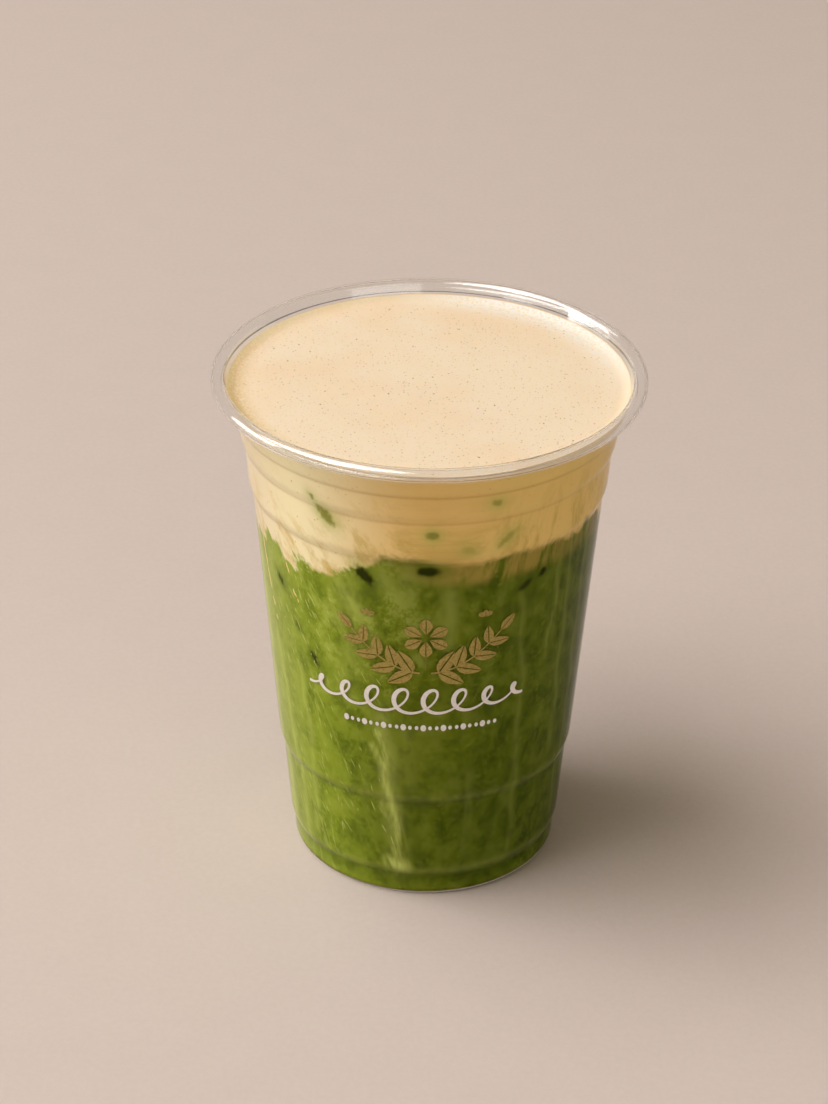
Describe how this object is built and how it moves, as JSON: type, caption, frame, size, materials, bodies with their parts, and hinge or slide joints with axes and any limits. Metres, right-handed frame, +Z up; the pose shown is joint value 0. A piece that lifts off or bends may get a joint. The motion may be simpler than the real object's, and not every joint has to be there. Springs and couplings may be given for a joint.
{
  "type": "matcha latte",
  "caption": "Iced matcha latte in a clear thin-walled tapered cup with a rolled rim and stacking rings: green drink below, pale cream above, filled to just under the rim.",
  "frame": {"origin": "middle of the cup's foot, on the plane that it stands on", "axes": "+Z up along the cup's axis; -Y is the front and +X is on the right"},
  "size_m": [0.098, 0.098, 0.1225],
  "materials": {
    "cup_plastic": "clear thermoformed plastic, smooth and glossy",
    "matcha_milk": "opaque green milk drink, seen wet against the wall",
    "cream_top": "opaque pale cream with fine bubbles, soft satin surface"
  },
  "bodies": {
    "root": {"cup": "cup_plastic", "matcha": "matcha_milk", "cream": "cream_top"}
  },
  "joints": []
}
